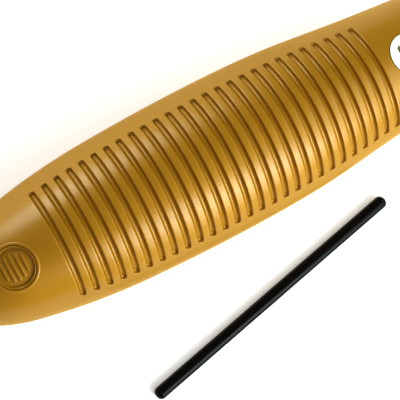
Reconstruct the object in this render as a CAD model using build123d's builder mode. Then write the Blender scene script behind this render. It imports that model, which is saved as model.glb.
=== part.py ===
from build123d import *
import math
import os

os.makedirs("parts", exist_ok=True)

# ---------------------------------------------------------------- dimensions
# A hollow moulded guiro (ridged scraper gourd) with its rod scraper, in mm.
# +X runs along the body from the small domed end to the blunt end, +Z is the
# ridged front, and the flat land on the back rests on Z = 0.
AXIS_Z = 44.0            # height of the body's axis above the flat land
WALL = 3.6               # moulded wall

# outer radius of the body at stations along X
STATIONS = [
    (-152.500, 30.150), (-137.476, 35.360), (-122.452, 38.557),
    (-107.429, 41.323), (-92.405, 43.498), (-77.381, 45.139),
    (-62.357, 46.267), (-47.333, 47.041), (-32.310, 47.639),
    (-17.286, 48.079), (-2.262, 48.326), (12.762, 48.391),
    (27.786, 48.288), (42.810, 47.962), (57.833, 47.330),
    (72.857, 46.298), (87.881, 44.820), (102.905, 43.133),
    (117.929, 41.542), (132.952, 40.166), (147.976, 38.981),
    (163.000, 37.827),
]
SLOPE_LEFT = 23.2        # profile slope in degrees where the small dome starts
SLOPE_RIGHT = -4.7       # and where the blunt end's shoulder starts
SHOULDER_R = 10.5        # rounding of the blunt end
CAP_ANGLE = 4.0          # the blunt end's face is crowned by this much

RIDGE_COUNT = 27         # grooves between the ridges
RIDGE_PITCH = 8.6
RIDGE_X0 = -105.5        # first groove
RIDGE_HALF_ANGLE = 56.4  # groove tip, degrees round the body from the front
GROOVE_R = 1.75          # half-round bottom
GROOVE_EDGE_R = 0.70     # rounded edge
GROOVE_EDGE_SWEEP = 72.0

BADGE_X = -135.7         # round moulded boss on the small end
BADGE_R = 15.0
BADGE_RIM_W = 2.1
BADGE_LINE_R = (12.45, 12.9)
BADGE_FLOOR_R = 11.9
BADGE_RISE = 0.9
BADGE_DEPTH = 1.1
BADGE_BAR_W = 1.7
BADGE_BAR_PITCH = 3.4
BADGE_BAR_REACH = 8.6

SEAM_TONGUE = (1.25, 2.35)   # tongue between these depths inside the skin
SEAM_TONGUE_H = 1.6
SEAM_CLEAR = 0.1

THUMB_X, THUMB_D = -42.0, 26.0       # grip holes in the back
FINGER_X, FINGER_L, FINGER_W = 40.0, 42.0, 24.0
GRIP_EDGE_R = 1.2

LABEL_X, LABEL_ANGLE, LABEL_R, LABEL_T = 141.0, 5.8, 13.3, 0.25

ROD_D, ROD_L = 8.7, 200.0
ROD_TIP_R = 3.7
ROD_CENTRE = (12.9, -98.65)
ROD_ANGLE = 11.8


# ------------------------------------------------------------ profile helper
A_LEFT, A_RIGHT = math.radians(SLOPE_LEFT), math.radians(SLOPE_RIGHT)
PROFILE = Edge.make_spline(
    [Vector(x, r, 0) for x, r in STATIONS],
    tangents=[Vector(math.cos(A_LEFT), math.sin(A_LEFT), 0),
              Vector(math.cos(A_RIGHT), math.sin(A_RIGHT), 0)])
PROFILE_STEPS = 36


def profile_at(u):
    """Point and slope angle of the outer profile at parameter u, 0 to 1."""
    p, t = PROFILE.position_at(u), PROFILE.tangent_at(u)
    return p.X, p.Y, math.atan2(t.Y, t.X)


def parameter_at(x):
    """Parameter of the outer profile at x."""
    lo, hi = 0.0, 1.0
    for _ in range(40):
        mid = (lo + hi) / 2
        if PROFILE.position_at(mid).X < x:
            lo = mid
        else:
            hi = mid
    return (lo + hi) / 2


def surface_at(x):
    """Radius and slope angle of the outer skin at x."""
    _, r, a = profile_at(parameter_at(x))
    return r, a


def half_outline(inset):
    """Draw half of the body's outline, moved inwards by inset."""
    al, ar = A_LEFT, A_RIGHT
    if inset:
        samples = [profile_at(i / PROFILE_STEPS) for i in range(PROFILE_STEPS + 1)]
        pts = [Vector(x + inset * math.sin(a), r - inset * math.cos(a), 0)
               for x, r, a in samples]
        curve = Edge.make_spline(pts, tangents=[
            Vector(math.cos(al), math.sin(al), 0), Vector(math.cos(ar), math.sin(ar), 0)])
        cuts = [i / 6 for i in range(7)]
    else:
        pts = [Vector(x, r, 0) for x, r in STATIONS]
        curve = PROFILE
        cuts = [0.0] + [parameter_at(RIDGE_X0 + (i - 0.5) * RIDGE_PITCH)
                        for i in range(RIDGE_COUNT + 1)] + [1.0]
    # small end: a spherical dome that runs tangent into the profile
    x0, r0 = STATIONS[0]
    dome_r = r0 / math.cos(al)
    dome_x = x0 + r0 * math.tan(al)
    rr = dome_r - inset
    apex = (dome_x - rr, 0)
    mid_a = math.pi - (math.pi / 2 - al) / 2
    mid = (dome_x + rr * math.cos(mid_a), rr * math.sin(mid_a))
    ThreePointArc(apex, mid, (pts[0].X, pts[0].Y))
    for u0, u1 in zip(cuts[:-1], cuts[1:]):
        add(curve.trim(u0, u1))
    # blunt end: a shoulder, then a slightly crowned face
    x1, r1 = STATIONS[-1]
    sx, sy = x1 + SHOULDER_R * math.sin(ar), r1 - SHOULDER_R * math.cos(ar)
    sr = SHOULDER_R - inset
    a0, a1 = math.pi / 2 + ar, math.radians(CAP_ANGLE)
    am = (a0 + a1) / 2
    p1 = (sx + sr * math.cos(am), sy + sr * math.sin(am))
    p2 = (sx + sr * math.cos(a1), sy + sr * math.sin(a1))
    ThreePointArc((pts[-1].X, pts[-1].Y), p1, p2)
    cap_r = (sy + SHOULDER_R * math.sin(a1)) / math.sin(a1)
    cx = sx + SHOULDER_R * math.cos(a1) - cap_r * math.cos(a1)
    cr = cap_r - inset
    p3 = (cx + cr * math.cos(a1 / 2), cr * math.sin(a1 / 2))
    p4 = (cx + cr, 0)
    ThreePointArc(p2, p3, p4)
    Line(p4, apex)


def envelope(inset):
    """The body as a solid of revolution, its skin moved inwards by inset."""
    with BuildPart() as env:
        with BuildSketch(Plane.XY.offset(AXIS_Z)):
            with BuildLine():
                half_outline(inset)
            make_face()
        revolve(axis=Axis((0, 0, AXIS_Z), (1, 0, 0)))
    return env.part


def skin_plane(x, degrees_round):
    """Plane tangent to the skin: local z is the outward normal, local x runs
    along the profile."""
    r, a = surface_at(x)
    f = math.radians(degrees_round)
    er = Vector(0, math.sin(f), math.cos(f))
    t = Vector(math.cos(a), 0, 0) + er * math.sin(a)
    n = Vector(-math.sin(a), 0, 0) + er * math.cos(a)
    return Plane(origin=Vector(x, 0, AXIS_Z) + er * r, x_dir=t, z_dir=n)


OUTER = envelope(0.0)
INNER = envelope(WALL)

# ------------------------------------------------------------- groove cutters
# Each groove has a half-round bottom and rounded edges, follows the body
# round the front, and closes with a rounded tip at each end.
edge = math.radians(GROOVE_EDGE_SWEEP)
EDGE_C = (GROOVE_R + GROOVE_EDGE_R, -GROOVE_EDGE_R)
EDGE_END = (EDGE_C[0] - GROOVE_EDGE_R * math.cos(edge),
            EDGE_C[1] + GROOVE_EDGE_R * math.sin(edge))
EDGE_MID = (EDGE_C[0] - GROOVE_EDGE_R * math.cos(edge / 2),
            EDGE_C[1] + GROOVE_EDGE_R * math.sin(edge / 2))
FLARE_TOP = 0.4
FLARE = (EDGE_END[0] + (FLARE_TOP - EDGE_END[1]) / math.tan(math.pi / 2 - edge),
         FLARE_TOP)


def groove_cutter(x):
    r, a = surface_at(x)
    tip = math.degrees((GROOVE_R + GROOVE_EDGE_R) / r)
    half = RIDGE_HALF_ANGLE - tip
    planes = []
    for f in (-half, half):
        p = skin_plane(x, f)
        # section plane: local x along the profile, local y the outward normal
        planes.append(Plane(origin=p.origin, x_dir=p.x_dir,
                            z_dir=p.x_dir.cross(p.z_dir)))
    mirror_pt = lambda q: (-q[0], q[1])
    with BuildPart() as cutter:
        with BuildSketch(planes[0]):
            with BuildLine():
                Polyline((-FLARE[0], FLARE_TOP), mirror_pt(EDGE_END))
                ThreePointArc(mirror_pt(EDGE_END), mirror_pt(EDGE_MID),
                              (-GROOVE_R, -GROOVE_EDGE_R))
                ThreePointArc((-GROOVE_R, -GROOVE_EDGE_R),
                              (0, -GROOVE_EDGE_R - GROOVE_R),
                              (GROOVE_R, -GROOVE_EDGE_R))
                ThreePointArc((GROOVE_R, -GROOVE_EDGE_R), EDGE_MID, EDGE_END)
                Polyline(EDGE_END, FLARE, (-FLARE[0], FLARE_TOP))
            make_face()
        revolve(axis=Axis((0, 0, AXIS_Z), (-1, 0, 0)), revolution_arc=2 * half)
        for p, turn in ((planes[0], 1), (planes[1], -1)):
            with BuildSketch(p):
                with BuildLine():
                    ThreePointArc((0, -GROOVE_EDGE_R - GROOVE_R),
                                  (GROOVE_R * math.sin(math.pi / 4),
                                   -GROOVE_EDGE_R - GROOVE_R * math.cos(math.pi / 4)),
                                  (GROOVE_R, -GROOVE_EDGE_R))
                    ThreePointArc((GROOVE_R, -GROOVE_EDGE_R), EDGE_MID, EDGE_END)
                    Polyline(EDGE_END, FLARE, (0, FLARE_TOP),
                             (0, -GROOVE_EDGE_R - GROOVE_R))
                make_face()
            n = p.y_dir * turn
            revolve(axis=Axis(p.origin, n), revolution_arc=180)
    return cutter.part


GROOVES = [groove_cutter(RIDGE_X0 + i * RIDGE_PITCH) for i in range(RIDGE_COUNT)]

# ------------------------------------------------------------ moulded badge
BADGE = skin_plane(BADGE_X, 0)

with BuildPart() as badge_rim:
    with BuildSketch(BADGE.offset(-6)):
        Circle(BADGE_R)
        Circle(BADGE_R - BADGE_RIM_W, mode=Mode.SUBTRACT)
        Circle(BADGE_LINE_R[0])
        Circle(BADGE_FLOOR_R, mode=Mode.SUBTRACT)
    extrude(amount=12)
    add(envelope(-BADGE_RISE), mode=Mode.INTERSECT)
    add(INNER, mode=Mode.SUBTRACT)

with BuildPart() as badge_recess:
    with BuildSketch(BADGE.offset(-8)):
        Circle(BADGE_FLOOR_R)
    extrude(amount=12)
    add(envelope(BADGE_DEPTH), mode=Mode.SUBTRACT)

with BuildPart() as badge_bars:
    with BuildSketch(BADGE.offset(-8)):
        for k in range(-2, 3):
            u = k * BADGE_BAR_PITCH
            half = math.sqrt(BADGE_BAR_REACH**2 - u**2)
            with Locations((u, 0)):
                SlotOverall(2 * half, BADGE_BAR_W, rotation=90)
    extrude(amount=12)
    add(envelope(0.05), mode=Mode.INTERSECT)
    add(envelope(BADGE_DEPTH + 0.6), mode=Mode.SUBTRACT)

# ------------------------------------------------------------- seam tongue
def seam_band(depths, height):
    with BuildPart() as band:
        with BuildSketch(Plane.XY.offset(AXIS_Z)):
            for inset, how in ((depths[0], Mode.ADD), (depths[1], Mode.SUBTRACT)):
                with BuildSketch(mode=Mode.PRIVATE) as loop:
                    with BuildLine():
                        half_outline(inset)
                    make_face()
                    mirror(about=Plane.XZ)
                add(loop.sketch, mode=how)
        extrude(amount=-height)
    return band.part


TONGUE = seam_band(SEAM_TONGUE, SEAM_TONGUE_H)
TONGUE_SLOT = seam_band((SEAM_TONGUE[0] - SEAM_CLEAR, SEAM_TONGUE[1] + SEAM_CLEAR),
                        SEAM_TONGUE_H + 2 * SEAM_CLEAR)

# -------------------------------------------------------------- front shell
with BuildPart() as front_shell:
    add(OUTER)
    add(INNER, mode=Mode.SUBTRACT)
    split(bisect_by=Plane.XY.offset(AXIS_Z), keep=Keep.TOP)
    add(badge_recess.part, mode=Mode.SUBTRACT)
    add(badge_rim.part)
    add(badge_bars.part)
    add(GROOVES, mode=Mode.SUBTRACT)
    add(TONGUE)
front_shell.part.label = "front_shell"
export_step(front_shell.part, "parts/front_shell.step")

# --------------------------------------------------------------- rear shell
with BuildPart() as hollow:
    add(INNER)
    split(bisect_by=Plane.XY.offset(WALL), keep=Keep.TOP)

# the grip holes, as cutters with both rims rounded
with BuildPart() as grip_plate:
    with BuildSketch(Plane.XY):
        Rectangle(220, 60)
        with Locations((THUMB_X, 0)):
            Circle(THUMB_D / 2, mode=Mode.SUBTRACT)
        with Locations((FINGER_X, 0)):
            SlotOverall(FINGER_L, FINGER_W, mode=Mode.SUBTRACT)
    extrude(amount=WALL)
    fillet([e for e in grip_plate.edges().filter_by(Plane.XY)
            if abs(e.center().Y) < FINGER_W / 2 + 0.2 and abs(e.center().X) < 100],
           radius=GRIP_EDGE_R)

with BuildPart() as grip_cutter:
    with BuildSketch(Plane.XY.offset(-1)):
        with Locations((THUMB_X, 0)):
            Circle(THUMB_D / 2 + 2)
        with Locations((FINGER_X, 0)):
            SlotOverall(FINGER_L + 4, FINGER_W + 4)
    extrude(amount=WALL + 2)
    add(grip_plate.part, mode=Mode.SUBTRACT)

with BuildPart() as rear_shell:
    add(OUTER)
    split(bisect_by=Plane.XY.offset(AXIS_Z), keep=Keep.BOTTOM)
    split(bisect_by=Plane.XY, keep=Keep.TOP)
    add(hollow.part, mode=Mode.SUBTRACT)
    add(TONGUE_SLOT, mode=Mode.SUBTRACT)
    add(grip_cutter.part, mode=Mode.SUBTRACT)
rear_shell.part.label = "rear_shell"
export_step(rear_shell.part, "parts/rear_shell.step")

# -------------------------------------------------------------------- label
LABEL_UNDER, LABEL_TOP = [], []
for i in range(9):
    x = LABEL_X + (LABEL_R + 2) * (i / 4 - 1)
    r, a = surface_at(x)
    for line, lift in ((LABEL_UNDER, 0.03), (LABEL_TOP, LABEL_T)):
        line.append((x - lift * math.sin(a), r + lift * math.cos(a)))
with BuildPart() as label:
    with BuildSketch(Plane.XY.offset(AXIS_Z)):
        with BuildLine():
            Spline(*LABEL_UNDER)
            Line(LABEL_UNDER[-1], LABEL_TOP[-1])
            Spline(*LABEL_TOP)
            Line(LABEL_TOP[0], LABEL_UNDER[0])
        make_face()
    revolve(axis=Axis((0, 0, AXIS_Z), (1, 0, 0)), revolution_arc=180)
    with BuildSketch(skin_plane(LABEL_X, LABEL_ANGLE).offset(-6)):
        Circle(LABEL_R)
    extrude(amount=10, mode=Mode.INTERSECT)
label.part.label = "label"
export_step(label.part, "parts/label.step")

# ------------------------------------------------------------------ scraper
c, s = math.cos(math.radians(ROD_ANGLE)), math.sin(math.radians(ROD_ANGLE))
ROD_PLANE = Plane(origin=(ROD_CENTRE[0] - c * ROD_L / 2, ROD_CENTRE[1] - s * ROD_L / 2,
                          ROD_D / 2),
                  x_dir=(0, 0, 1), z_dir=(c, s, 0))
with BuildPart() as scraper:
    with BuildSketch(ROD_PLANE):
        Circle(ROD_D / 2)
    extrude(amount=ROD_L)
    fillet(scraper.edges().filter_by(GeomType.CIRCLE), radius=ROD_TIP_R)
scraper.part.label = "scraper"
export_step(scraper.part, "parts/scraper.step")
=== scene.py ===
import math

import bmesh
import bpy
import numpy as np
from mathutils import Matrix, Vector
from mathutils.geometry import delaunay_2d_cdt


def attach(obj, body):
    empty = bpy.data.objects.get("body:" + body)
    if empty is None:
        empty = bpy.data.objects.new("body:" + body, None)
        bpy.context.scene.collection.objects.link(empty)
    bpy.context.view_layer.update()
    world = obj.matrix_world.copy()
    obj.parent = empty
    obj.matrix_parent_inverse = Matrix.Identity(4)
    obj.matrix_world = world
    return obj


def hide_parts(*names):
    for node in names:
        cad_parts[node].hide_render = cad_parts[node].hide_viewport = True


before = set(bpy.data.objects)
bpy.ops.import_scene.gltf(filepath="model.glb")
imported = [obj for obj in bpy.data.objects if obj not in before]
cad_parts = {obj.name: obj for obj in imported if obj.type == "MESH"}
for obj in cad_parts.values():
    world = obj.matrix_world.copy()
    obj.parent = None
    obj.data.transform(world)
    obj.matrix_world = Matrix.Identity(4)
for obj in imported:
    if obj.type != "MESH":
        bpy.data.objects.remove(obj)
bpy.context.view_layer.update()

# ------------------------------------------------------------------ camera
# First, because everything else is looked at through it.
CAM_C = (-0.23686, 0.05352, 1.00581)
RIGHT = Vector((0.85976, -0.45283, 0.23613))
DOWN = Vector((-0.45675, -0.88864, -0.04109))
FORWARD = Vector((0.22844, -0.07253, -0.97085))
cam_data = bpy.data.cameras.new("camera")
cam_data.sensor_fit = "HORIZONTAL"
cam_data.sensor_width = 36.0
cam_data.lens = 144.0
cam_data.clip_start = 0.01
cam_data.clip_end = 50.0
cam = bpy.data.objects.new("camera", cam_data)
bpy.context.scene.collection.objects.link(cam)
rot = Matrix((RIGHT, -DOWN, -FORWARD)).transposed()
cam.matrix_world = Matrix.Translation(CAM_C) @ rot.to_4x4()
bpy.context.scene.camera = cam

# ------------------------------------------------- the body's skin, in mm
AXIS_Z = 44.0
WALL = 3.6
STATIONS = np.array([
    (-152.500, 30.150), (-137.476, 35.360), (-122.452, 38.557),
    (-107.429, 41.323), (-92.405, 43.498), (-77.381, 45.139),
    (-62.357, 46.267), (-47.333, 47.041), (-32.310, 47.639),
    (-17.286, 48.079), (-2.262, 48.326), (12.762, 48.391),
    (27.786, 48.288), (42.810, 47.962), (57.833, 47.330),
    (72.857, 46.298), (87.881, 44.820), (102.905, 43.133),
    (117.929, 41.542), (132.952, 40.166), (147.976, 38.981),
    (163.000, 37.827)])
A_LEFT, A_RIGHT = math.radians(23.2), math.radians(-4.7)
SHOULDER_R, CAP_A = 10.5, math.radians(4.0)
PITCH, GROOVES, GROOVE_X0 = 8.6, 27, -105.5
TIP_ANGLE = math.radians(56.4)
GR, GE = 1.75, 0.70                       # groove bottom and edge radii
GROOVE_W = GR + GE


def clamped_spline(pts, m0, m1):
    x, y = pts[:, 0], pts[:, 1]
    n, h = len(x), np.diff(x)
    a, b = np.zeros((n, n)), np.zeros(n)
    a[0, 0], a[-1, -1], b[0], b[-1] = 1.0, 1.0, m0, m1
    for i in range(1, n - 1):
        a[i, i - 1], a[i, i], a[i, i + 1] = 1 / h[i - 1], 2 / h[i - 1] + 2 / h[i], 1 / h[i]
        b[i] = 3 * ((y[i] - y[i - 1]) / h[i - 1]**2 + (y[i + 1] - y[i]) / h[i]**2)
    return np.linalg.solve(a, b)


SLOPES = clamped_spline(STATIONS, math.tan(A_LEFT), math.tan(A_RIGHT))


def skin(x):
    """Radius and slope of the spline part of the skin."""
    x = np.clip(np.asarray(x, float), STATIONS[0, 0], STATIONS[-1, 0])
    i = np.clip(np.searchsorted(STATIONS[:, 0], x) - 1, 0, len(STATIONS) - 2)
    x0, x1 = STATIONS[i, 0], STATIONS[i + 1, 0]
    r0, r1 = STATIONS[i, 1], STATIONS[i + 1, 1]
    h = x1 - x0
    t = (x - x0) / h
    m0, m1 = SLOPES[i] * h, SLOPES[i + 1] * h
    r = ((2 * t**3 - 3 * t**2 + 1) * r0 + (t**3 - 2 * t**2 + t) * m0
         + (-2 * t**3 + 3 * t**2) * r1 + (t**3 - t**2) * m1)
    d = ((6 * t**2 - 6 * t) * r0 + (3 * t**2 - 4 * t + 1) * m0
         + (-6 * t**2 + 6 * t) * r1 + (3 * t**2 - 2 * t) * m1) / h
    return r, d


def columns(xs):
    """Profile points and unit normals from pole to pole: x, r, nx, nr."""
    out = []
    x0, r0 = STATIONS[0]
    dome_r, dome_x = r0 / math.cos(A_LEFT), x0 + r0 * math.tan(A_LEFT)
    n = 26
    for i in range(n):
        a = math.pi - (math.pi / 2 - A_LEFT) * i / n
        out.append((dome_x + dome_r * math.cos(a), dome_r * math.sin(a),
                    math.cos(a), math.sin(a)))
    for x in xs:
        r, d = skin(x)
        q = math.sqrt(1 + d * d)
        out.append((float(x), float(r), float(-d / q), float(1 / q)))
    x1, r1 = STATIONS[-1]
    sx, sy = x1 + SHOULDER_R * math.sin(A_RIGHT), r1 - SHOULDER_R * math.cos(A_RIGHT)
    a0 = math.pi / 2 + A_RIGHT
    n = 18
    for i in range(1, n + 1):
        a = a0 + (CAP_A - a0) * i / n
        out.append((sx + SHOULDER_R * math.cos(a), sy + SHOULDER_R * math.sin(a),
                    math.cos(a), math.sin(a)))
    cap_r = (sy + SHOULDER_R * math.sin(CAP_A)) / math.sin(CAP_A)
    cx = sx + SHOULDER_R * math.cos(CAP_A) - cap_r * math.cos(CAP_A)
    n = 12
    for i in range(1, n + 1):
        a = CAP_A * (1 - i / n)
        out.append((cx + cap_r * math.cos(a), cap_r * math.sin(a),
                    math.cos(a), math.sin(a)))
    out = np.array(out)
    out[0, 1] = out[-1, 1] = 0.0
    return out


# ------------------------------------------------------------ mesh helpers
class Soup:
    """Vertices and faces gathered from grids and stitched patches."""

    def __init__(self):
        self.v, self.f, self.n = [], [], 0

    def verts(self, pts):
        pts = np.asarray(pts, float).reshape(-1, 3)
        self.v.append(pts)
        first = self.n
        self.n += len(pts)
        return np.arange(first, self.n)

    def faces(self, rows):
        self.f += [tuple(int(i) for i in row) for row in rows]

    def points(self):
        return np.vstack(self.v)


def grid_quads(ids, flip=False):
    """Quads of a 2-D array of vertex numbers."""
    a, b, c, d = ids[:-1, :-1], ids[1:, :-1], ids[1:, 1:], ids[:-1, 1:]
    q = np.stack([a, b, c, d], -1).reshape(-1, 4)
    return q[:, ::-1] if flip else q


def boundary_loops(quads):
    """Loops of edges that only one face has, following the faces' winding."""
    seen = {}
    for q in quads:
        n = len(q)
        for i in range(n):
            e = (int(q[i]), int(q[(i + 1) % n]))
            if (e[1], e[0]) in seen:
                del seen[(e[1], e[0])]
            else:
                seen[e] = True
    nxt = {a: b for a, b in seen}
    loops = []
    while nxt:
        a = next(iter(nxt))
        loop = [a]
        b = nxt.pop(a)
        while b != a:
            loop.append(b)
            b = nxt.pop(b)
        loops.append(loop)
    return loops


def stitch(soup, pts2, outer, inner, up=True):
    """Triangles between two closed loops of vertex numbers, flat coordinates
    of each vertex given by pts2."""
    ids = list(outer) + list(inner)
    co = [Vector((float(pts2[i][0]), float(pts2[i][1]))) for i in ids]
    no, ni = len(outer), len(inner)
    edges = [(i, (i + 1) % no) for i in range(no)]
    edges += [(no + i, no + (i + 1) % ni) for i in range(ni)]
    got = delaunay_2d_cdt(co, edges, [], 1, 1e-7)
    verts, faces, origin = got[0], got[2], got[3]
    hole = np.array([[co[no + i].x, co[no + i].y] for i in range(ni)])
    rows = []
    for f in faces:
        m = np.array([[verts[i].x, verts[i].y] for i in f]).mean(0)
        if inside(m, hole):
            continue
        tri = [ids[origin[i][0]] for i in f]
        p = [pts2[i] for i in tri]
        area = ((p[1][0] - p[0][0]) * (p[2][1] - p[0][1])
                - (p[2][0] - p[0][0]) * (p[1][1] - p[0][1]))
        if (area > 0) != up:
            tri = tri[::-1]
        rows.append(tri)
    soup.faces(rows)


def inside(p, poly):
    x, y = poly[:, 0], poly[:, 1]
    x2, y2 = np.roll(x, -1), np.roll(y, -1)
    hit = ((y > p[1]) != (y2 > p[1]))
    with np.errstate(divide="ignore", invalid="ignore"):
        cross = (x2 - x) * (p[1] - y) / np.where(y2 == y, 1.0, y2 - y) + x
    return bool(np.count_nonzero(hit & (p[0] < cross)) % 2)


def make_object(name, pts_mm, faces, merge=1e-4, attrs=None):
    """A smooth-shaded object, with coincident points merged and slivers and
    collapsed faces dropped. attrs are per-point floats."""
    key = np.round(pts_mm / merge).astype(np.int64)
    _, first, back = np.unique(key, axis=0, return_index=True, return_inverse=True)
    back = back.reshape(-1)
    order = np.argsort(first)
    rank = np.empty_like(order)
    rank[order] = np.arange(len(order))
    new = rank[back]
    co = pts_mm[first[order]] * 0.001
    keep, seen = [], set()
    for f in faces:
        g = []
        for i in f:
            k = int(new[i])
            if not g or g[-1] != k:
                g.append(k)
        if len(g) > 1 and g[0] == g[-1]:
            g.pop()
        if len(g) < 3 or len(set(g)) < len(g):
            continue
        k = tuple(sorted(g))
        if k in seen:
            continue
        seen.add(k)
        keep.append(g)
    mesh = bpy.data.meshes.new(name)
    mesh.from_pydata([tuple(c) for c in co], [], keep)
    for a, vals in (attrs or {}).items():
        layer = mesh.attributes.new(a, "FLOAT", "POINT")
        layer.data.foreach_set("value", np.asarray(vals, np.float32)[first[order]])
    bm = bmesh.new()
    bm.from_mesh(mesh)
    bmesh.ops.recalc_face_normals(bm, faces=bm.faces)
    bm.to_mesh(mesh)
    bm.free()
    mesh.shade_smooth()
    mesh.update()
    obj = bpy.data.objects.new(name, mesh)
    bpy.context.scene.collection.objects.link(obj)
    return obj


def ramp(p, a, b):
    """0 at a to 1 at b, eased at both ends."""
    t = np.clip((np.asarray(p, float) - a) / (b - a), 0, 1)
    return t * t * (3 - 2 * t)


# --------------------------------------------------------------- front shell
def groove_depth(rho):
    rho = np.abs(rho)
    low = GE + np.sqrt(np.clip(GR**2 - rho**2, 0, None))
    edge = GE - np.sqrt(np.clip(GE**2 - (GROOVE_W - rho)**2, 0, None))
    return np.where(rho <= GR, low, np.where(rho < GROOVE_W, edge, 0.0))


def front_columns():
    xs = list(np.linspace(STATIONS[0, 0], GROOVE_X0 - 3.4, 24))
    half = [GROOVE_W - GE * math.sin(math.radians(b)) for b in (0, 20, 42, 62, 79)]
    half += [GR * math.cos(math.radians(g)) for g in (0, 13, 30, 50, 72)]
    ts = sorted([-t for t in half] + [0.0] + half)
    for i in range(GROOVES):
        xc = GROOVE_X0 + i * PITCH
        _, d = skin(xc)
        c = 1 / math.sqrt(1 + float(d)**2)
        xs += [xc + t * c for t in ts]
        if i < GROOVES - 1:
            xs += [xc + c * t for t in (3.4, 5.2)]
    xs += list(np.linspace(GROOVE_X0 + 26 * PITCH + 3.4, STATIONS[-1, 0], 20))
    return np.array(sorted(xs))


def front_rows():
    deg = list(np.arange(0, 51.5, 3.0))
    deg += [52.3] + list(np.arange(52.9, 56.6, 0.26))
    deg += list(np.arange(58.0, 88.0, 3.0)) + [89.0, 89.55, 89.72, 89.84, 89.93, 90.0]
    pos = np.radians(sorted(deg))
    return np.concatenate([-pos[:0:-1], pos])


SEAM_W = 0.22     # the moulding's rounded parting edge


def seam_drop(r, from_seam):
    """How far the skin falls away next to the parting line."""
    d = np.clip(SEAM_W - r * from_seam, 0, SEAM_W)
    return SEAM_W - np.sqrt(np.clip(SEAM_W**2 - d**2, 0, None))


BADGE_X = -135.7
BADGE_R = 15.0


def badge_frame():
    r, d = skin(BADGE_X)
    q = math.sqrt(1 + float(d)**2)
    origin = np.array([BADGE_X, 0.0, AXIS_Z + float(r)])
    t = np.array([1 / q, 0.0, float(d) / q])
    n = np.array([-float(d) / q, 0.0, 1 / q])
    return origin, t, np.array([0.0, 1.0, 0.0]), n


def drop_on_skin(u, v, fr, h):
    """Points of the skin under tangent-plane coordinates u, v of frame fr,
    raised by h along the skin's normal."""
    o, t, e, n = fr
    base = o + np.multiply.outer(u, t) + np.multiply.outer(v, e)
    lo, hi = np.full(np.shape(u), -9.0), np.full(np.shape(u), 3.0)
    for _ in range(40):
        w = (lo + hi) / 2
        p = base + w[..., None] * n
        r, _ = skin(p[..., 0])
        out = np.hypot(p[..., 1], p[..., 2] - AXIS_Z) > r
        hi, lo = np.where(out, w, hi), np.where(out, lo, w)
    p = base + ((lo + hi) / 2)[..., None] * n
    r, d = skin(p[..., 0])
    q = np.sqrt(1 + d * d)
    rad = np.hypot(p[..., 1], p[..., 2] - AXIS_Z)
    normal = np.stack([-d / q, p[..., 1] / rad / q, (p[..., 2] - AXIS_Z) / rad / q], -1)
    return p + np.asarray(h)[..., None] * normal


BAR_W, BAR_PITCH, BAR_REACH = 1.7, 3.4, 8.6
FLOOR = -1.10


def badge_height(rho):
    """Rim, fine line, thin inner rim and fall to the floor, by distance from
    the centre."""
    rho = np.asarray(rho, float)
    bead = 0.90 * np.sqrt(np.clip(1 - (np.abs(rho - 13.95) / 1.09)**2.4, 0, 1))
    line = np.where(rho < 13.1, -0.22 * ramp(rho, 13.02, 12.86), 0.0)
    thin = 0.95 * np.sqrt(np.clip(1 - (np.abs(rho - 12.2) / 0.42)**2.6, 0, 1))
    h = np.where(rho > 12.86, bead + line, 0.0)
    h = np.where((rho <= 12.86) & (rho > 12.62), -0.22, h)
    h = np.where((rho <= 12.62) & (rho > 12.2), -0.22 + thin, h)
    h = np.where(rho <= 12.2, FLOOR + (0.73 - FLOOR) * np.sqrt(
        np.clip(1 - (np.abs(12.2 - rho) / 0.46)**2.6, 0, 1)), h)
    return h


def bars_height(u, v):
    k = np.clip(np.round(u / BAR_PITCH), -2, 2)
    c = k * BAR_PITCH
    half = np.sqrt(BAR_REACH**2 - c**2) - BAR_W / 2
    d = np.hypot(u - c, np.clip(np.abs(v) - half, 0, None))
    return FLOOR + 0.95 * ramp(d, BAR_W / 2 + 0.06, BAR_W / 2 - 0.34)


def ring_section(cols, inset):
    """Profile moved inwards by inset."""
    return cols[:, 0] - inset * cols[:, 2], cols[:, 1] - inset * cols[:, 3]


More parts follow.
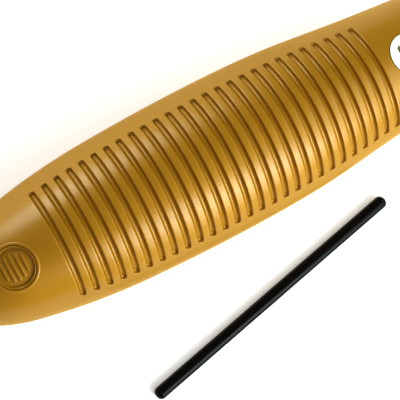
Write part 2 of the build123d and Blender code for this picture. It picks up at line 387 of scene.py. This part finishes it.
def build_front():
    cols, rows = columns(front_columns()), front_rows()
    soup = Soup()
    x, r, nx, nr = cols.T
    depth = np.zeros((len(x), len(rows)))
    for i in range(GROOVES):
        xc = GROOVE_X0 + i * PITCH
        rc, d = skin(xc)
        t = (x - xc) * math.sqrt(1 + float(d)**2)
        near = np.abs(t) < GROOVE_W + 1e-6
        run_end = TIP_ANGLE - GROOVE_W / float(rc)
        past = np.clip(np.abs(rows) - run_end, 0, None) * float(rc)
        rho = np.hypot(t[near][:, None], past[None, :])
        depth[near] = np.maximum(depth[near], groove_depth(rho))
    drop = seam_drop(np.maximum(r, 1e-3)[:, None], math.pi / 2 - np.abs(rows)[None, :])
    drop *= ramp(r, 0.8, 5.0)[:, None]
    off = -(depth + drop)
    px = x[:, None] + off * nx[:, None]
    pr = np.maximum(r[:, None] + off * nr[:, None], 0)
    p = np.stack([px, pr * np.sin(rows), AXIS_Z + pr * np.cos(rows)], -1)
    outer = soup.verts(p).reshape(p.shape[:2])
    quads = grid_quads(outer)
    pts = p.reshape(-1, 3)

    # the badge: a round patch let into the grid, with its floor let into that
    fr = badge_frame()
    o, t, e, n = fr
    uv = np.stack([(pts - o) @ t, (pts - o) @ e], -1)
    near = (np.abs(pts[:, 0] - BADGE_X) < 30) & (pts[:, 2] > AXIS_Z + 10)
    rho_all = np.where(near, np.hypot(uv[:, 0], uv[:, 1]), 99.0)
    cut = (rho_all[quads].max(1) < 19.4)
    removed, quads = quads[cut], quads[~cut]
    soup.faces(quads)
    loop = max(boundary_loops(removed), key=len)
    flat = {int(i): uv[i] for i in loop}

    rho = np.array([16.2, 15.6, 15.25, 15.08, 15.04, 15.02, 14.99, 14.94, 14.86, 14.75,
                    14.6, 14.4, 14.15, 13.95, 13.75, 13.5, 13.3, 13.15, 13.04, 12.96,
                    12.91, 12.88, 12.86, 12.80, 12.72, 12.64, 12.615, 12.60, 12.57, 12.52,
                    12.45, 12.35, 12.2, 12.05, 11.93, 11.85, 11.79, 11.76, 11.745, 11.72,
                    11.6, 11.45, 11.3])
    ang = np.arange(0, 360, 2.0)
    ca, sa = np.cos(np.radians(ang)), np.sin(np.radians(ang))
    U, V = np.outer(rho, ca), np.outer(rho, sa)
    P = drop_on_skin(U, V, fr, badge_height(np.repeat(rho[:, None], len(ang), 1)))
    ring = soup.verts(P).reshape(len(rho), len(ang))
    closed = np.concatenate([ring, ring[:, :1]], 1)
    soup.faces(grid_quads(closed, flip=True))
    for k, i in enumerate(ring[0]):
        flat[int(i)] = (U[0, k], V[0, k])
    stitch(soup, flat, loop, list(ring[0]), up=True)

    us = []
    for k in range(-2, 3):
        c = k * BAR_PITCH
        edge = [BAR_W / 2 + 0.06 - 0.40 * q for q in (0, 0.2, 0.4, 0.6, 0.8, 1.0)]
        us += [c - q for q in edge] + [c + q for q in edge] + [c]
        us += [c - BAR_PITCH / 2 + 0.4, c - BAR_PITCH / 2, c + BAR_PITCH / 2 - 0.4]
    us += [-10.6, -9.9, -9.2, 9.2, 9.9, 10.6, BAR_PITCH * 2.5]
    us = np.unique(np.round(us, 4))
    vs = np.linspace(-10.75, 10.75, 83)
    U2, V2 = np.meshgrid(us, vs, indexing="ij")
    P2 = drop_on_skin(U2, V2, fr, bars_height(U2, V2))
    floor = soup.verts(P2).reshape(U2.shape)
    q2 = grid_quads(floor)
    r2 = np.hypot(U2, V2).reshape(-1)
    base = int(floor[0, 0])
    ok = (r2[q2 - base].max(1) < 10.95)
    soup.faces(q2[ok])
    loop2 = max(boundary_loops(q2[ok]), key=len)
    flat2 = {int(i): (U2.reshape(-1)[i - base], V2.reshape(-1)[i - base]) for i in loop2}
    for k, i in enumerate(ring[-1]):
        flat2[int(i)] = (U[-1, k], V[-1, k])
    stitch(soup, flat2, list(ring[-1]), loop2, up=True)

    # seam face with its tongue, and the inside skin
    close_shell(soup, cols, outer, sign=1, tongue=1.6,
                inner_rows=np.radians(np.linspace(-90, 90, 11)), depths=(1.25, 2.35))
    return soup


def close_shell(soup, cols, outer, sign, tongue, inner_rows, depths, floor_z=None):
    """The inside skin and the seam face. sign +1 is the upper shell, -1 the
    lower. tongue is how far the raised or sunk band goes below the seam."""
    xi, ri = ring_section(cols, WALL)
    ri = np.maximum(ri, 0)
    rr = np.repeat(ri[:, None], len(inner_rows), 1)
    if floor_z is not None:
        rr = soft_min(rr, (AXIS_Z - floor_z) / np.cos(np.clip(inner_rows, -1.4, 1.4))[None, :], 0.7)
    p = np.stack([np.repeat(xi[:, None], len(inner_rows), 1),
                  rr * np.sin(inner_rows), AXIS_Z + sign * rr * np.cos(inner_rows)], -1)
    inner = soup.verts(p).reshape(p.shape[:2])
    for side, out_col, in_col in ((1, outer[:, -1], inner[:, -1]), (-1, outer[:, 0], inner[:, 0])):
        band = [out_col]
        for inset, z in ((depths[0], 0.0), (depths[0], -tongue), (depths[1], -tongue), (depths[1], 0.0)):
            xb, rb = ring_section(cols, inset)
            rb = np.maximum(rb, 0)
            band.append(soup.verts(np.stack([xb, side * rb, np.full(len(xb), AXIS_Z + z)], -1)))
        band.append(in_col)
        ids = np.stack(band, 1)
        soup.faces(grid_quads(ids, flip=(side * sign < 0)))
    return soup.faces(grid_quads(inner, flip=(sign > 0))) or inner


def soft_min(a, b, k):
    h = np.clip(k - np.abs(a - b), 0, None) / k
    return np.minimum(a, b) - h * h * k * 0.25


# ---------------------------------------------------------------- rear shell
THUMB_X, THUMB_R = -42.0, 13.0
FINGER_X, FINGER_HALF, FINGER_R = 40.0, 9.0, 12.0
RIM_R = 1.2


def hole_loops(cx, half, rad):
    """Rim, wall and inner rim of a grip hole as stacked loops, bottom first."""
    n = 64
    th = np.radians(np.arange(n) * 360.0 / n + 180.0 / n)
    levels = []
    for q in np.linspace(0, 90, 7):
        b = math.radians(q)
        levels.append((rad + RIM_R * (1 - math.sin(b)), RIM_R * (1 - math.cos(b))))
    for q in np.linspace(0, 90, 7):
        b = math.radians(q)
        levels.append((rad + RIM_R * (1 - math.cos(b)), WALL - RIM_R + RIM_R * math.sin(b)))
    out = []
    for rr, z in levels:
        x = cx + rr * np.cos(th) + half * np.sign(np.cos(th))
        y = rr * np.sin(th)
        if half:
            ends, pts = [], []
            for i in range(n):
                pts.append((x[i], y[i], z))
                j = (i + 1) % n
                if x[i] * 0 == 0 and np.sign(np.cos(th[i])) != np.sign(np.cos(th[j])):
                    for f in (0.2, 0.4, 0.6, 0.8):
                        pts.append((x[i] + (x[j] - x[i]) * f, y[i] + (y[j] - y[i]) * f, z))
            out.append(np.array(pts))
        else:
            out.append(np.stack([x, y, np.full(n, z)], -1))
    return np.array(out)


def near_hole(x, y, cx, half, rad):
    return np.hypot(np.clip(np.abs(x - cx) - half, 0, None), y) - rad


def build_rear():
    xs = np.unique(np.concatenate([np.linspace(STATIONS[0, 0], STATIONS[-1, 0], 170)]))
    cols = columns(xs)
    deg = sorted(set(list(np.arange(0, 30, 1.1)) + list(np.arange(31, 88.6, 2.2))
                     + [89.0, 89.55, 89.72, 89.84, 89.93, 90.0]))
    pos = np.radians(deg)
    rows = np.concatenate([-pos[:0:-1], pos])
    x, r, nx, nr = cols.T
    soup = Soup()
    drop = seam_drop(np.maximum(r, 1e-3)[:, None], math.pi / 2 - np.abs(rows)[None, :])
    drop *= ramp(r, 0.8, 5.0)[:, None]
    px = x[:, None] - drop * nx[:, None]
    pr = np.maximum(r[:, None] - drop * nr[:, None], 0)
    pr = soft_min(pr, AXIS_Z / np.cos(np.clip(rows, -1.4, 1.4))[None, :], 0.7)
    p = np.stack([px, pr * np.sin(rows), AXIS_Z - pr * np.cos(rows)], -1)
    outer = soup.verts(p).reshape(p.shape[:2])
    holes = ((THUMB_X, 0.0, THUMB_R), (FINGER_X, FINGER_HALF, FINGER_R))

    inner_rows = np.concatenate([-pos[:0:-1][::1], pos])[::2]
    if abs(inner_rows[-1] - math.pi / 2) > 1e-9:
        inner_rows = np.append(inner_rows, math.pi / 2)
    inner_rows[0], inner_rows[-1] = -math.pi / 2, math.pi / 2
    start = len(soup.f)
    close_shell(soup, cols, outer, sign=-1, tongue=1.8, inner_rows=inner_rows,
                depths=(1.15, 2.45), floor_z=WALL)
    all_faces = soup.f
    n_inner = (len(cols) - 1) * (len(inner_rows) - 1)
    rest, inner_quads = all_faces[start:-n_inner], np.array(all_faces[-n_inner:])
    soup.f = list(all_faces[:start]) + list(rest)
    pts = soup.points()
    for quads, lo, top in ((grid_quads(outer, flip=True), True, False), (inner_quads, False, True)):
        keep = np.ones(len(quads), bool)
        found = []
        for cx, half, rad in holes:
            d = near_hole(pts[:, 0], pts[:, 1], cx, half, rad)
            flat_zone = pts[:, 2] < 12
            dd = np.where(flat_zone, d, 99.0)
            cut = dd[quads].min(1) < RIM_R + 0.25
            found.append((quads[cut], cx, half, rad))
            keep &= ~cut
        soup.faces(quads[keep])
        for removed, cx, half, rad in found:
            loop = max(boundary_loops(removed), key=len)
            levels = hole_loops(cx, half, rad)
            key = "wall%g" % cx
            if lo:
                ids = soup.verts(levels).reshape(levels.shape[:2])
                WALLS[key] = ids
                closed = np.concatenate([ids, ids[:, :1]], 1)
                soup.faces(grid_quads(closed, flip=True))
                inner_loop = ids[0]
            else:
                inner_loop = WALLS[key][-1]
            allp = soup.points()
            flat = {int(i): allp[i][:2] for i in list(loop) + list(inner_loop)}
            stitch(soup, flat, loop, list(inner_loop), up=top)
    return soup


WALLS = {}

# -------------------------------------------------------------------- label
LABEL_X, LABEL_A, LABEL_R, LABEL_T = 141.0, math.radians(5.8), 13.3, 0.25


def build_label():
    r, d = skin(LABEL_X)
    r, d = float(r), float(d)
    q = math.sqrt(1 + d * d)
    er = np.array([0.0, math.sin(LABEL_A), math.cos(LABEL_A)])
    ex = np.array([1.0, 0.0, 0.0])
    t, n = (ex + er * d) / q, (-ex * d + er) / q
    fr = (np.array([LABEL_X, 0, AXIS_Z]) + er * r, t, np.cross(n, t), n)
    soup = Soup()
    m = 120
    ang = np.radians(np.arange(m) * 360.0 / m)
    rho = np.concatenate([np.linspace(0.6, 12.6, 21), [13.0, 13.16, 13.23, 13.28, 13.30]])
    h = np.concatenate([np.full(22, LABEL_T), [LABEL_T - 0.008, LABEL_T - 0.02, LABEL_T - 0.045, LABEL_T - 0.08]])
    U, V = np.outer(rho, np.cos(ang)), np.outer(rho, np.sin(ang))
    top = drop_on_skin(U, V, fr, np.repeat(h[:, None], m, 1))
    ids = soup.verts(top).reshape(len(rho), m)
    side = soup.verts(drop_on_skin(U[-1], V[-1], fr, np.full(m, 0.03)))
    c_top = soup.verts(drop_on_skin(np.zeros(1), np.zeros(1), fr, np.array([LABEL_T])))[0]
    low = [side]
    uu, vv = [U.reshape(-1), U[-1], [0.0]], [V.reshape(-1), V[-1], [0.0]]
    for s in (0.75, 0.5, 0.25):
        low.append(soup.verts(drop_on_skin(U[-1] * s, V[-1] * s, fr, np.full(m, 0.03))))
        uu.append(U[-1] * s)
        vv.append(V[-1] * s)
    c_low = soup.verts(drop_on_skin(np.zeros(1), np.zeros(1), fr, np.array([0.03])))[0]
    uu.append([0.0])
    vv.append([0.0])
    rings = np.concatenate([ids, side[None, :]], 0)
    rings = np.concatenate([rings, rings[:, :1]], 1)
    soup.faces(grid_quads(rings))
    soup.faces([(c_top, ids[0, i], ids[0, (i + 1) % m]) for i in range(m)])
    under = np.stack(low, 0)
    under = np.concatenate([under, under[:, :1]], 1)
    soup.faces(grid_quads(under))
    soup.faces([(c_low, low[-1][(i + 1) % m], low[-1][i]) for i in range(m)])
    return soup, {"label_u": np.concatenate(uu), "label_v": np.concatenate(vv)}


# ------------------------------------------------------------------ scraper
ROD_D, ROD_L, ROD_TIP = 8.7, 200.0, 3.7
ROD_C, ROD_A = np.array([12.9, -98.65, 4.35]), math.radians(11.8)


def build_scraper():
    prof = [(0.0, 0.0)]
    flat = ROD_D / 2 - ROD_TIP
    for q in np.linspace(0, 90, 15):
        b = math.radians(q)
        prof.append((ROD_TIP * (1 - math.cos(b)), flat + ROD_TIP * math.sin(b)))
    for s in np.linspace(ROD_TIP, ROD_L - ROD_TIP, 61)[1:-1]:
        # the drawn rod is a few hundredths of a millimetre out of round
        w = 0.020 * math.sin(s * 0.071 + 0.6) + 0.012 * math.sin(s * 0.19 + 2.1)
        prof.append((s, ROD_D / 2 - 0.03 + w))
    for q in np.linspace(90, 0, 15):
        b = math.radians(q)
        prof.append((ROD_L - ROD_TIP * (1 - math.cos(b)), flat + ROD_TIP * math.sin(b)))
    prof.append((ROD_L, 0.0))
    prof = np.array(prof)
    m = 72
    th = np.radians(np.arange(m) * 360.0 / m)
    ax = np.array([math.cos(ROD_A), math.sin(ROD_A), 0.0])
    e1, e2 = np.array([-math.sin(ROD_A), math.cos(ROD_A), 0.0]), np.array([0.0, 0.0, 1.0])
    p = (ROD_C + np.multiply.outer(prof[:, 0] - ROD_L / 2, ax)[:, None, :]
         + prof[:, 1][:, None, None] * (np.cos(th)[None, :, None] * e1 + np.sin(th)[None, :, None] * e2))
    soup = Soup()
    ids = soup.verts(p).reshape(p.shape[:2])
    closed = np.concatenate([ids, ids[:, :1]], 1)
    soup.faces(grid_quads(closed))
    return soup


# ------------------------------------------------------------------ materials
def material(name):
    m = bpy.data.materials.new(name)
    m.use_nodes = True
    nt = m.node_tree
    b = nt.nodes["Principled BSDF"]
    return m, nt, b


def node(nt, kind, **props):
    n = nt.nodes.new(kind)
    for k, v in props.items():
        setattr(n, k, v)
    return n


def gold_material():
    m, nt, b = material("gold_plastic")
    link = nt.links.new
    co = node(nt, "ShaderNodeTexCoord")
    # flow marks: slow cloudy variation of the pearl pigment
    cloud = node(nt, "ShaderNodeTexNoise")
    cloud.inputs["Scale"].default_value = 16.0
    cloud.inputs["Detail"].default_value = 3.0
    cloud.inputs["Roughness"].default_value = 0.5
    link(co.outputs["Object"], cloud.inputs["Vector"])
    # pigment grain: fine metallic flake
    flake = node(nt, "ShaderNodeTexNoise")
    flake.inputs["Scale"].default_value = 2600.0
    flake.inputs["Detail"].default_value = 2.0
    flake.inputs["Roughness"].default_value = 0.6
    link(co.outputs["Object"], flake.inputs["Vector"])
    mixf = node(nt, "ShaderNodeMath", operation="MULTIPLY_ADD")
    link(flake.outputs["Fac"], mixf.inputs[0])
    mixf.inputs[1].default_value = 0.35
    link(cloud.outputs["Fac"], mixf.inputs[2])
    col = node(nt, "ShaderNodeValToRGB")
    e = col.color_ramp.elements
    e[0].position, e[0].color = 0.45, (0.440, 0.234, 0.0028, 1)
    e[1].position, e[1].color = 0.95, (0.479, 0.259, 0.0049, 1)
    link(mixf.outputs[0], col.inputs["Fac"])
    link(col.outputs["Color"], b.inputs["Base Color"])
    b.inputs["Metallic"].default_value = 1.000
    b.inputs["IOR"].default_value = 1.5
    b.inputs["Coat Weight"].default_value = 0.301
    b.inputs["Coat IOR"].default_value = 2.12
    b.inputs["Specular Tint"].default_value = (1.0, 0.800, 0.400, 1.0)
    b.inputs["Coat Roughness"].default_value = 0.301
    rough = node(nt, "ShaderNodeMapRange")
    rough.inputs["From Min"].default_value = 0.3
    rough.inputs["From Max"].default_value = 0.7
    rough.inputs["To Min"].default_value = 0.72
    rough.inputs["To Max"].default_value = 0.78
    link(cloud.outputs["Fac"], rough.inputs["Value"])
    link(rough.outputs["Result"], b.inputs["Roughness"])
    # fine moulded grain
    grain = node(nt, "ShaderNodeTexNoise")
    grain.inputs["Scale"].default_value = 1100.0
    grain.inputs["Detail"].default_value = 3.0
    link(co.outputs["Object"], grain.inputs["Vector"])
    bump = node(nt, "ShaderNodeBump")
    bump.inputs["Strength"].default_value = 0.20
    bump.inputs["Distance"].default_value = 0.00025
    link(grain.outputs["Fac"], bump.inputs["Height"])
    link(bump.outputs["Normal"], b.inputs["Normal"])
    return m


def black_material():
    m, nt, b = material("black_rod")
    link = nt.links.new
    co = node(nt, "ShaderNodeTexCoord")
    turn = node(nt, "ShaderNodeMapping")
    turn.inputs["Rotation"].default_value = (0.0, 0.0, -ROD_A)
    turn.inputs["Scale"].default_value = (1.0, 1.0, 1.0)
    link(co.outputs["Object"], turn.inputs["Vector"])
    stretch = node(nt, "ShaderNodeMapping")
    stretch.inputs["Scale"].default_value = (30.0, 900.0, 900.0)
    link(turn.outputs["Vector"], stretch.inputs["Vector"])
    streak = node(nt, "ShaderNodeTexNoise")
    streak.inputs["Scale"].default_value = 1.0
    streak.inputs["Detail"].default_value = 4.0
    link(stretch.outputs["Vector"], streak.inputs["Vector"])
    col = node(nt, "ShaderNodeValToRGB")
    e = col.color_ramp.elements
    e[0].position, e[0].color = 0.3, (0.0020, 0.0020, 0.0022, 1)
    e[1].position, e[1].color = 0.8, (0.0055, 0.0053, 0.0050, 1)
    link(streak.outputs["Fac"], col.inputs["Fac"])
    link(col.outputs["Color"], b.inputs["Base Color"])
    rough = node(nt, "ShaderNodeMapRange")
    rough.inputs["To Min"].default_value = 0.14
    rough.inputs["To Max"].default_value = 0.24
    link(streak.outputs["Fac"], rough.inputs["Value"])
    link(rough.outputs["Result"], b.inputs["Roughness"])
    b.inputs["IOR"].default_value = 1.5
    b.inputs["Specular IOR Level"].default_value = 0.12
    bump = node(nt, "ShaderNodeBump")
    bump.inputs["Strength"].default_value = 0.18
    bump.inputs["Distance"].default_value = 0.0002
    link(streak.outputs["Fac"], bump.inputs["Height"])
    link(bump.outputs["Normal"], b.inputs["Normal"])
    return m


def label_material():
    """White vinyl, darker in a fine ring at its edge, with plain gold bars."""
    m, nt, b = material("label_print")
    link = nt.links.new
    au = node(nt, "ShaderNodeAttribute", attribute_name="label_u")
    av = node(nt, "ShaderNodeAttribute", attribute_name="label_v")
    comb = node(nt, "ShaderNodeCombineXYZ")
    link(au.outputs["Fac"], comb.inputs[0])
    link(av.outputs["Fac"], comb.inputs[1])
    length = node(nt, "ShaderNodeVectorMath", operation="LENGTH")
    link(comb.outputs["Vector"], length.inputs[0])

    def step(value, a, c):
        n = node(nt, "ShaderNodeMapRange", interpolation_type="SMOOTHSTEP")
        n.inputs["From Min"].default_value = a
        n.inputs["From Max"].default_value = c
        link(value, n.inputs["Value"])
        return n.outputs["Result"]

    def mul(p, q):
        n = node(nt, "ShaderNodeMath", operation="MULTIPLY")
        link(p, n.inputs[0])
        link(q, n.inputs[1])
        return n.outputs[0]

    # darker from a fine ring just inside the edge outwards, over the rounded edge too
    border = step(length.outputs["Value"], 12.85, 12.98)
    # three bars, cut off by a circle
    wave = node(nt, "ShaderNodeMath", operation="MULTIPLY")
    link(au.outputs["Fac"], wave.inputs[0])
    wave.inputs[1].default_value = 2 * math.pi / 5.2
    cos = node(nt, "ShaderNodeMath", operation="COSINE")
    link(wave.outputs[0], cos.inputs[0])
    bars = step(cos.outputs[0], 0.10, 0.16)
    disc = step(length.outputs["Value"], 8.6, 8.5)
    print_mask = mul(bars, disc)
    noise = node(nt, "ShaderNodeTexNoise")
    noise.inputs["Scale"].default_value = 900.0
    co = node(nt, "ShaderNodeTexCoord")
    link(co.outputs["Object"], noise.inputs["Vector"])
    white = node(nt, "ShaderNodeValToRGB")
    e = white.color_ramp.elements
    e[0].position, e[0].color = 0.3, (0.80, 0.83, 0.85, 1)
    e[1].position, e[1].color = 0.7, (0.86, 0.89, 0.91, 1)
    link(noise.outputs["Fac"], white.inputs["Fac"])
    mix1 = node(nt, "ShaderNodeMix", data_type="RGBA")
    link(print_mask, mix1.inputs["Factor"])
    link(white.outputs["Color"], mix1.inputs["A"])
    mix1.inputs["B"].default_value = (0.16, 0.115, 0.035, 1)
    mix2 = node(nt, "ShaderNodeMix", data_type="RGBA")
    link(border, mix2.inputs["Factor"])
    link(mix1.outputs["Result"], mix2.inputs["A"])
    mix2.inputs["B"].default_value = (0.075, 0.052, 0.02, 1)
    link(mix2.outputs["Result"], b.inputs["Base Color"])
    b.inputs["Roughness"].default_value = 0.35
    bump = node(nt, "ShaderNodeBump")
    bump.inputs["Strength"].default_value = 0.05
    bump.inputs["Distance"].default_value = 0.0002
    link(noise.outputs["Fac"], bump.inputs["Height"])
    link(bump.outputs["Normal"], b.inputs["Normal"])
    return m


GOLD, BLACK, PRINT = gold_material(), black_material(), label_material()


def place(name, soup, mat, body, cad_node, attrs=None):
    obj = make_object(name, soup.points(), soup.f, attrs=attrs)
    obj.data.materials.append(mat)
    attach(obj, body)
    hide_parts(cad_node)
    return obj


place("front_shell_skin", build_front(), GOLD, "body", "front_shell")
place("rear_shell_skin", build_rear(), GOLD, "body", "rear_shell")
lab, lab_attrs = build_label()
place("label_sticker", lab, PRINT, "body", "label", attrs=lab_attrs)
place("scraper_rod", build_scraper(), BLACK, "scraper", "scraper")

# -------------------------------------------------------------- floor, light
floor_mesh = bpy.data.meshes.new("floor")
S = 6.0
floor_mesh.from_pydata([(-S, -S, 0), (S, -S, 0), (S, S, 0), (-S, S, 0)], [], [(0, 1, 2, 3)])
floor = bpy.data.objects.new("floor", floor_mesh)
bpy.context.scene.collection.objects.link(floor)
fm, fnt, fb = material("floor_white")
fb.inputs["Base Color"].default_value = (0.90, 0.90, 0.90, 1)
fb.inputs["Roughness"].default_value = 0.9
fb.inputs["Specular IOR Level"].default_value = 0.2
fb.inputs["Emission Color"].default_value = (1, 1, 1, 1)
fb.inputs["Emission Strength"].default_value = 0.394
floor_mesh.materials.append(fm)

world = bpy.data.worlds.new("studio")
world.use_nodes = True
world.node_tree.nodes["Background"].inputs["Color"].default_value = (1, 1, 1, 1)
world.node_tree.nodes["Background"].inputs["Strength"].default_value = 0.340
bpy.context.scene.world = world


def area(name, pos, aim, size, size_y, power, color=(1, 1.12, 1.12)):
    d = bpy.data.lights.new(name, "AREA")
    d.shape = "RECTANGLE"
    d.size, d.size_y = size, size_y
    d.energy = power
    d.color = color
    o = bpy.data.objects.new(name, d)
    bpy.context.scene.collection.objects.link(o)
    o.location = pos
    o.rotation_euler = (Vector(aim) - Vector(pos)).to_track_quat("-Z", "Y").to_euler()
    return o


# soft boxes round the table: azimuth from +Y towards +X, elevation, radiance
# and side length
for name, az, el, level, side in (("soft_a", 142.1, 36.0, 3.30, 0.79), ("soft_b", 168.5, 44.3, 7.03, 0.79),
                                  ("soft_c", 118.0, 48.6, 1.49, 0.79), ("soft_d", 161.9, 24.9, 5.67, 0.79),
                                  ("back_a", -0.5, 20.1, 4.64, 0.79), ("back_b", -13.0, 20.2, 3.01, 0.79),
                                  ("top_a", 108.0, 55.0, 0.84, 0.79), ("side_x", 88.0, 33.0, 4.68, 0.60)):
    az, el = math.radians(az), math.radians(el)
    d = Vector((math.sin(az) * math.cos(el), math.cos(az) * math.cos(el), math.sin(el)))
    area(name, d * 1.6 + Vector((0, 0, 0.04)), (0, 0, 0.04), side, side, level * math.pi * side * side)

bpy.context.scene.view_settings.view_transform = "Standard"
bpy.context.scene.view_settings.look = "None"
bpy.context.scene.view_settings.gamma = 0.791   # a print's contrast
